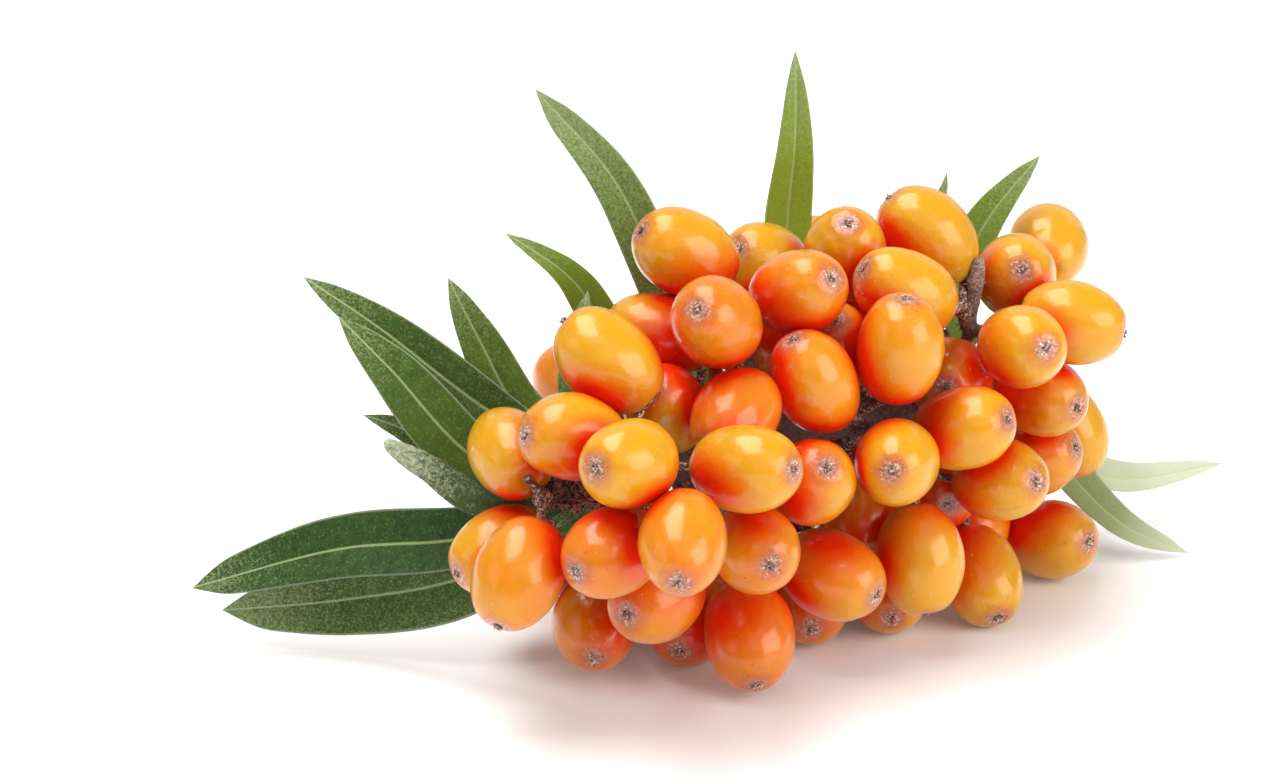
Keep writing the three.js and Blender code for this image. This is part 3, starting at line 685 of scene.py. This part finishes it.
def upper_material(s):
    """The upper side of a sea buckthorn leaf: leathery and dark green, dotted with silvery star-shaped
    scales, with a pale midrib and a thin pale margin."""
    material, space = new_material("Leaf, upper side")
    place = add(material, "ShaderNodeAttribute", output="Vector", attribute_name="blade")
    blade = add(material, "ShaderNodeSeparateXYZ", {"Vector": place}, output=None)
    rib_distance, silvery, fresh_and_backlit = (
        add(material, "ShaderNodeAttribute", output="Fac", attribute_name=name) for name in LEAF_LAYERS
    )
    mottle = add(material, NOISE, {"Vector": space, "Scale": per_metre(1.1), "Detail": 5, "Roughness": 0.75})
    patches = add(material, RANGE, {"Value": mottle, "From Min": 0.3, "From Max": 0.7})

    # Scales 0.16 mm wide, thicker on the leaves that are more silvery, where they are paler too.
    grain = add(material, NOISE, {"Vector": space, "Scale": per_metre(0.3), "Roughness": 0.7})
    _, chances = scale_cells(material, space, 0.16)
    spot = add(material, MATHS, {0: grain, 1: 2.2, 2: chances[0]}, operation="MULTIPLY_ADD")
    thick = add(material, MATHS, {0: silvery, 1: spot}, operation="ADD")
    dots = add(material, RANGE, {"Value": thick, "From Min": 1.5, "From Max": 3, "To Max": 0.75})
    felted = add(material, RANGE, {"Value": silvery, "From Min": 1.8, "From Max": 2.8})
    scales = add(
        material, MIX, {FACTOR: felted, FIRST: s.silver, SECOND: s.margin}, RESULT, data_type="RGBA"
    )

    # The midrib narrows towards the tip, and the margin is a fifth of a millimetre.
    off_rib = add(material, MATHS, {0: rib_distance}, operation="ABSOLUTE")
    rib_edge = add(
        material, RANGE, {"Value": blade["Y"], "To Min": s.rib_width * 0.5, "To Max": s.rib_width * 0.2}
    )
    rib_share = add(material, MATHS, {0: off_rib, 1: rib_edge}, operation="DIVIDE")
    rib = add(
        material, RANGE, {"Value": rib_share, "From Min": 0.4, "From Max": 1.3, "To Min": 0.65, "To Max": 0}
    )
    reach = add(material, MATHS, {0: blade["X"]}, operation="ABSOLUTE")
    margin = add(material, RANGE, {"Value": reach, "From Min": 0.92, "From Max": 0.98, "To Max": 0.3})
    crinkle = add(
        material, NOISE, {"Vector": space, "Scale": per_metre(0.55), "Detail": 3, "Roughness": 0.6}
    )
    # The fresh layer is partly a young leaf's own green and partly painted light coming through the blade.
    return finish_material(
        material, s.dark,
        [(patches, s.green), (fresh_and_backlit, s.fresh_and_backlit), (dots, scales), (rib, s.rib), (margin, s.margin)],
        {"Roughness": 0.55, "IOR": 1.42, "Specular IOR Level": 0.25},
        (crinkle, 0.7, 0.14),
    )


def lower_material(s):
    """The lower side of the leaf: felted with silvery scales, with a few rusty ones."""
    material, space = new_material("Leaf, lower side")
    _, chances = scale_cells(material, space, 0.22)
    mottle = add(material, NOISE, {"Vector": space, "Scale": per_metre(0.7), "Detail": 4, "Roughness": 0.7})
    spot = add(material, MATHS, {0: mottle, 1: 2.5, 2: chances[0]}, operation="MULTIPLY_ADD")
    place = add(material, "ShaderNodeAttribute", output="Vector", attribute_name="blade")
    along = add(material, "ShaderNodeSeparateXYZ", {"Vector": place}, output="Y")
    fuller = add(material, RANGE, {"Value": along, "From Min": 0.3, "To Min": -0.6})
    felted = add(material, MATHS, {0: spot, 1: fuller}, operation="ADD")
    thick = add(material, RANGE, {"Value": felted, "From Min": 1.5, "From Max": 3})
    rusty = add(material, RANGE, {"Value": chances[1], "From Min": 0.93, "From Max": 0.98, "To Max": 0.4})
    return finish_material(
        material, s.under, [(thick, s.felt), (rusty, s.rust)], {"Roughness": 0.6}, (mottle, 0.6, 0.12)
    )


def between(values, at):
    """A smooth curve through evenly spaced values, read at a share of the way along."""
    place = at * (len(values) - 1)
    i = min(int(place), len(values) - 2)
    t = place - i
    before, here, there, after = (values[max(0, min(len(values) - 1, i + d))] for d in (-1, 0, 1, 2))
    slope_here, slope_there = (there - before) / 2, (after - here) / 2
    return (
        here * (2 * t**3 - 3 * t**2 + 1) + slope_here * (t**3 - 2 * t**2 + t)
        + there * (3 * t**2 - 2 * t**3) + slope_there * (t**3 - t**2)
    )


def add_blade(bm, s, stations, layers, tones, blunt, rng):
    """The blade: a closed thin shell whose upper side is grooved along the midrib and whose lower side
    carries it as a ridge. Its margins rise from the midrib and ripple a little."""
    blade, rib_distance, silvery, fresh_and_backlit = layers
    curves = {key: [station[key] for station in stations] for key in ("middle", "face", "across", "half")}
    ripple = rng.uniform(0, 9)
    own_silvery, own_fresh_and_backlit = tones
    shoulder_half = between(curves["half"], SHOULDER)
    columns = 2 * s.columns
    for vert in bmesh.ops.create_grid(bm, x_segments=columns, y_segments=s.rows, size=1)["verts"]:
        x, along = vert.co.x, (vert.co.y + 1) / 2
        upper = x <= 0
        across = 1 + 2 * x if upper else 1 - 2 * x
        middle, face, side = (between(curves[key], along) for key in ("middle", "face", "across"))
        half = max(0, between(curves["half"], along))
        if blunt and along > SHOULDER:
            rounded = math.sqrt(max(0, 1 - ((along - SHOULDER) / (1 - SHOULDER)) ** 2))
            half = max(half, shoulder_half * rounded)
        rise = LEAF_FOLD * half * abs(across) ** FOLD_CURVE if half > PACKED_PETIOLE_RADIUS else 0
        wave = noise.noise(Vector((across * RIPPLES_ACROSS, along * RIPPLES_ALONG, ripple)))
        rise += s.waviness * half * wave * across**2
        off_rib = across * half
        thick = s.thickness / 2 * math.sqrt(max(0, 1 - across**4)) * min(1, half / THIN_FOOT)
        rib = math.exp(-((off_rib / (s.rib_width * RIB_SPREAD)) ** 2)) * min(1, half / THIN_RIB)
        rib *= 1 - RIB_LOSS * along
        up = thick - RIB_GROOVE * rib if upper else -thick - RIB_RIDGE * rib
        vert.co = middle + side * off_rib + face * (rise + up)
        vert.co.z = max(vert.co.z, 0)
        vert[blade] = Vector((across, along, 0))
        vert[rib_distance] = off_rib
        vert[silvery] = own_silvery + SILVERY_RISE * max(0, along - SILVERY_TIP)
        vert[fresh_and_backlit] = own_fresh_and_backlit * (1 - FRESH_AND_BACKLIT_LOSS * along)
    for i, face in enumerate(bm.faces):
        face.material_index = UPPER if i % columns < s.columns else LOWER
    bmesh.ops.remove_doubles(bm, verts=bm.verts, dist=0.001 * MM)
    bmesh.ops.recalc_face_normals(bm, faces=bm.faces)


def add_petiole(bm, s, stations):
    """The leaf's own short stalk, from inside the bark to under the foot of the blade."""
    start = stations[0]["middle"] - stations[0]["along"] * ROOT * MM
    foot = stations[0]["middle"] - stations[0]["face"] * SINK * MM
    under = stations[1]["middle"] - stations[1]["face"] * UNDER * MM
    rod(bm, start, foot, s.stalk_radius * 1.3, s.stalk_radius, ROUND, LOWER)
    rod(bm, foot, under, s.stalk_radius, s.stalk_radius * 0.6, ROUND, LOWER)


class SPRIG_OT_leaves(bpy.types.Operator):
    """Model the leaves around their packed blades"""

    bl_idname = "sprig.leaves"
    bl_label = "Model Leaves"

    def execute(self, context):
        s = context.scene.sprig_leaves
        materials = [upper_material(s), lower_material(s)]
        rng = random.Random(17)
        for node in sorted(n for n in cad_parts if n.startswith("leaf")):
            stations = leaf_stations(node)
            bm = bmesh.new()
            layers = [bm.verts.layers.float_vector.new("blade")]
            layers += [bm.verts.layers.float.new(name) for name in LEAF_LAYERS]
            add_blade(bm, s, stations, layers, LEAF_TONES.get(node, PLAIN_TONE), node in BLUNT_LEAVES, rng)
            add_petiole(bm, s, stations)
            link_piece(bm, node.replace("leaf", "blade"), materials, "leaf_green", node)
        return {"FINISHED"}


# ---- Branch ----
BARK, CUT_WOOD, BRISTLE = 0, 1, 2
TUFT = 100  # bristles made at a time
CLEARING = 8 * MM  # over how much height the painted shade on the wood fades and it turns silvery
SWELLING_REACH = 6 * MM  # how far above and below the clear height the wood is swollen
KNOB_GRAIN, RIDGE_GRAIN, FINE_GRAIN = 2.2 * MM, 0.55 * MM, 0.3 * MM  # how wide the bark's relief is
FINE_RIDGES = 0.6  # the height of the finest ridges, as a share of the others'
CUT_SMOOTH, CUT_RADIUS = 1.9 * MM, 2.0 * MM  # round the cut end: no relief, and bare wood
SHORTEST_BRISTLE, LONGEST_SCALE = 0.25, 0.8  # in millimetres
BRISTLE_RADII = (0.09, 0.2)  # in millimetres, at the foot
BRISTLE_POINT = 0.03 * MM
COMBED, STRAY = 0.8, 0.4  # how far the bristles lie towards the tip, and how far out of line


def bark_material(s):
    """Young sea buckthorn bark: reddish brown, finely ridged and dusted with silvery scales."""
    material, space = new_material("Bark")
    fibres = add(material, NOISE, {"Vector": space, "Scale": per_metre(0.6), "Detail": 5, "Roughness": 0.7})
    raised = add(material, RANGE, {"Value": fibres, "From Min": 0.38, "From Max": 0.6})

    # Scales 0.24 mm wide in drifts. Below the clear height most are left out, a painted shade that darkens
    # the wood where the berries shade it.
    _, chances = scale_cells(material, space, 0.24)
    drifts = add(material, NOISE, {"Vector": space, "Scale": per_metre(1.4), "Detail": 3, "Roughness": 0.7})
    chance = add(material, MATHS, {0: drifts, 1: 2.2, 2: chances[0]}, operation="MULTIPLY_ADD")
    dusted = add(
        material, RANGE, {"Value": chance, "From Min": 1.4, "From Max": 2.1, "To Min": 0.3, "To Max": 0.85}
    )
    height = add(material, "ShaderNodeSeparateXYZ", {"Vector": space}, output="Z")
    clear = add(
        material, RANGE,
        {"Value": height, "From Min": s.clear_height - CLEARING, "From Max": s.clear_height, "To Min": 0.2},
    )
    silver = add(material, MATHS, {0: dusted, 1: clear}, operation="MULTIPLY")
    return finish_material(
        material, s.groove, [(raised, s.bark), (silver, s.scale)], {"Roughness": 0.8}, (fibres, 0.9, 0.2)
    )


def cut_wood_material(s):
    """The cut end: pale sapwood with darker growth."""
    material, space = new_material("Cut sapwood")
    rings = add(material, NOISE, {"Vector": space, "Scale": per_metre(0.5), "Detail": 4})
    return finish_material(material, s.sapwood, [(rings, s.growth)], {"Roughness": 0.8})


def bristle_material(s):
    """Loose bark scales and the remains of bud scales: dark, with rusty patches that are partly a painted
    highlight, for the lit ends of the bristles.
    """
    material, space = new_material("Bark scales")
    mottle = add(material, NOISE, {"Vector": space, "Scale": per_metre(0.5), "Detail": 3})
    share = add(material, RANGE, {"Value": mottle, "From Min": 0.42, "From Max": 0.6})
    return finish_material(material, s.groove, [(share, s.bristle)], {"Roughness": 0.6})


def stem_ends(bm):
    """The middles of the stem's bristly tip and of its cut end: the poles with the most edges."""
    poles = [vert.co.copy() for vert in bm.verts if len(vert.link_edges) == STEM_SIDES]
    poles.sort(key=lambda point: point.x)
    return poles[0], poles[-1]


def remeshed(bm, size):
    """A bmesh of evenly sized faces over the same body."""
    mesh = bpy.data.meshes.new("branch_draft")
    bm.to_mesh(mesh)
    bm.free()
    draft = bpy.data.objects.new("branch_draft", mesh)
    bpy.context.scene.collection.objects.link(draft)
    grain = draft.modifiers.new("Grain", "REMESH")
    grain.mode = "VOXEL"
    grain.voxel_size = size
    bpy.context.view_layer.update()
    made = bmesh.new()
    made.from_object(draft, bpy.context.evaluated_depsgraph_get())
    bpy.data.objects.remove(draft)
    bpy.data.meshes.remove(mesh)
    return made


def add_bristles(bm, tip, chosen, longest, rng):
    """Thin pointed scales on these spots of the bark, combed towards the tip."""
    for first in range(0, len(chosen), TUFT):
        loose = bmesh.new()
        for centre, normal in chosen[first : first + TUFT]:
            growth = (tip - centre).normalized()
            stray = Vector([rng.gauss(0, STRAY) for _ in range(3)])
            way = (normal + growth * COMBED + stray).normalized()
            end = centre + way * rng.uniform(SHORTEST_BRISTLE, longest) * MM
            thick = rng.uniform(*BRISTLE_RADII) * MM
            rod(loose, centre - normal * 0.1 * MM, end, thick, BRISTLE_POINT, SPLINTER, BRISTLE)
        join(bm, loose)


class SPRIG_OT_branch(bpy.types.Operator):
    """Model the branch with its bark"""

    bl_idname = "sprig.branch"
    bl_label = "Model Branch"

    def execute(self, context):
        s = context.scene.sprig_branch
        packed = merged_copy("branch")
        tip, cut = stem_ends(packed)
        bm = remeshed(packed, s.voxel)
        bmesh.ops.smooth_vert(
            bm, verts=bm.verts, factor=0.5, use_axis_x=True, use_axis_y=True, use_axis_z=True
        )
        bm.normal_update()
        for vert in bm.verts:
            if (vert.co - cut).length < CUT_SMOOTH:
                continue
            knob = noise.noise(vert.co / KNOB_GRAIN)
            ridge = noise.noise(vert.co / RIDGE_GRAIN) + FINE_RIDGES * noise.noise(vert.co / FINE_GRAIN)
            swollen = max(0, 1 - abs(vert.co.z - s.clear_height) / SWELLING_REACH)
            vert.co += vert.normal * (knob * s.knobs + ridge * s.ridges + swollen * s.swelling)
        for face in bm.faces:
            if (face.calc_center_median() - cut).length < CUT_RADIUS:
                face.material_index = CUT_WOOD
        rng = random.Random(5)
        bm.normal_update()
        bm.faces.ensure_lookup_table()
        spots = [(f.calc_center_median(), f.normal.copy()) for f in bm.faces if f.material_index == BARK]
        brush = [spot for spot in spots if (spot[0] - tip).length < s.brush_reach]
        for crowd, count, longest in (
            (spots, s.scales, LONGEST_SCALE), (brush, s.bristles, s.bristle_length / MM)
        ):
            add_bristles(bm, tip, rng.sample(crowd, min(count, len(crowd))), longest, rng)
        materials = [bark_material(s), cut_wood_material(s), bristle_material(s)]
        link_piece(bm, "bark_branch", materials, "bark", "branch")
        return {"FINISHED"}


# ---- Stage ----
FLOOR_SIZE = 3  # half the floor's side, in metres
WARM_WHITE, WHITE = "#FFFAF2", "#FFFFFF"
# Soft boxes that face the sprig: where each stands, its size, its watts and its colour.
LIGHTS = {
    "top": ((-0.2, 0.0, 0.8), (0.9, 0.5), 8.6, WARM_WHITE),
    "left": ((-0.76, -0.36, 0.36), (0.5, 0.5), 0.9, WARM_WHITE),
    "right": ((0.7, -0.46, 0.34), (0.7, 0.6), 5.7, WARM_WHITE),
    "back": ((0, 0.9, 0.45), (1.8, 0.8), 1.8, WHITE),
    "front": ((0.15, -0.9, 0.9), (1.2, 1.2), 3, WARM_WHITE),
}


def floor_material(s):
    """Matte white acrylic with a faint light under it, as on a table for product shots."""
    material, space = new_material("Lit white acrylic")
    tooth = add(material, NOISE, {"Vector": space, "Scale": per_metre(1.5)})
    return finish_material(
        material, s.floor, [],
        {"Roughness": 0.75, "Specular IOR Level": 0.3, "Emission Color": linear(WHITE),
         "Emission Strength": s.glow},
        (tooth, 0.1, 0.02),
    )


class SPRIG_OT_stage(bpy.types.Operator):
    """Set up the floor, the soft light and the camera"""

    bl_idname = "sprig.stage"
    bl_label = "Set Up Stage"

    def execute(self, context):
        s = context.scene.sprig_stage
        aim = Vector(s.aim)
        bm = bmesh.new()
        bmesh.ops.create_grid(bm, x_segments=1, y_segments=1, size=FLOOR_SIZE)
        mesh = bpy.data.meshes.new("floor")
        bm.to_mesh(mesh)
        bm.free()
        mesh.materials.append(floor_material(s))
        floor = bpy.data.objects.new("floor", mesh)
        context.scene.collection.objects.link(floor)

        world = bpy.data.worlds.new("White room")
        world.use_nodes = True
        background = world.node_tree.nodes["Background"]
        background.inputs["Color"].default_value = s.room
        background.inputs["Strength"].default_value = s.room_light
        context.scene.world = world
        for name, (place, size, watts, code) in LIGHTS.items():
            lamp = bpy.data.lights.new(name, "AREA")
            lamp.shape = "RECTANGLE"
            lamp.size, lamp.size_y = size
            lamp.energy = watts
            lamp.color = linear(code)[:3]
            light = bpy.data.objects.new(name, lamp)
            light.location = place
            light.rotation_euler = (aim - light.location).to_track_quat("-Z", "Y").to_euler()
            context.scene.collection.objects.link(light)

        lens = bpy.data.cameras.new("camera")
        lens.lens = s.lens
        lens.clip_start = 0.01
        camera = bpy.data.objects.new("camera", lens)
        back = Vector((0, -math.cos(s.elevation), math.sin(s.elevation)))
        camera.location = aim + back * s.distance
        camera.rotation_euler = (math.pi / 2 - s.elevation, 0, 0)
        context.scene.collection.objects.link(camera)
        context.scene.camera = camera
        context.scene.view_settings.view_transform = "Standard"
        return {"FINISHED"}


# ---- Panel and registration ----
SETTINGS = {
    "sprig_stage": SprigStageSettings,
    "sprig_berries": SprigBerrySettings,
    "sprig_leaves": SprigLeafSettings,
    "sprig_branch": SprigBranchSettings,
}
OPERATORS = (SPRIG_OT_stage, SPRIG_OT_berries, SPRIG_OT_leaves, SPRIG_OT_branch)


class SPRIG_PT_panel(bpy.types.Panel):
    """The sprig's parts, each with its settings"""

    bl_idname = "SPRIG_PT_panel"
    bl_label = "Sea Buckthorn Sprig"
    bl_space_type = "VIEW_3D"
    bl_region_type = "UI"
    bl_category = "Sprig"

    def draw(self, context):
        for operator, group in zip(OPERATORS, SETTINGS):
            box = self.layout.box()
            box.operator(operator.bl_idname)
            settings = getattr(context.scene, group)
            for name in settings.__annotations__:
                box.prop(settings, name)


def register():
    for group in SETTINGS.values():
        bpy.utils.register_class(group)
    for name, group in SETTINGS.items():
        setattr(bpy.types.Scene, name, bpy.props.PointerProperty(type=group))
    for operator in OPERATORS:
        bpy.utils.register_class(operator)
    bpy.utils.register_class(SPRIG_PT_panel)


def unregister():
    bpy.utils.unregister_class(SPRIG_PT_panel)
    for operator in reversed(OPERATORS):
        bpy.utils.unregister_class(operator)
    for name in SETTINGS:
        delattr(bpy.types.Scene, name)
    for group in reversed(list(SETTINGS.values())):
        bpy.utils.unregister_class(group)


def main():
    register()
    bpy.ops.sprig.stage()
    bpy.ops.sprig.branch()
    bpy.ops.sprig.leaves()
    bpy.ops.sprig.berries()


if __name__ == "__main__":
    main()
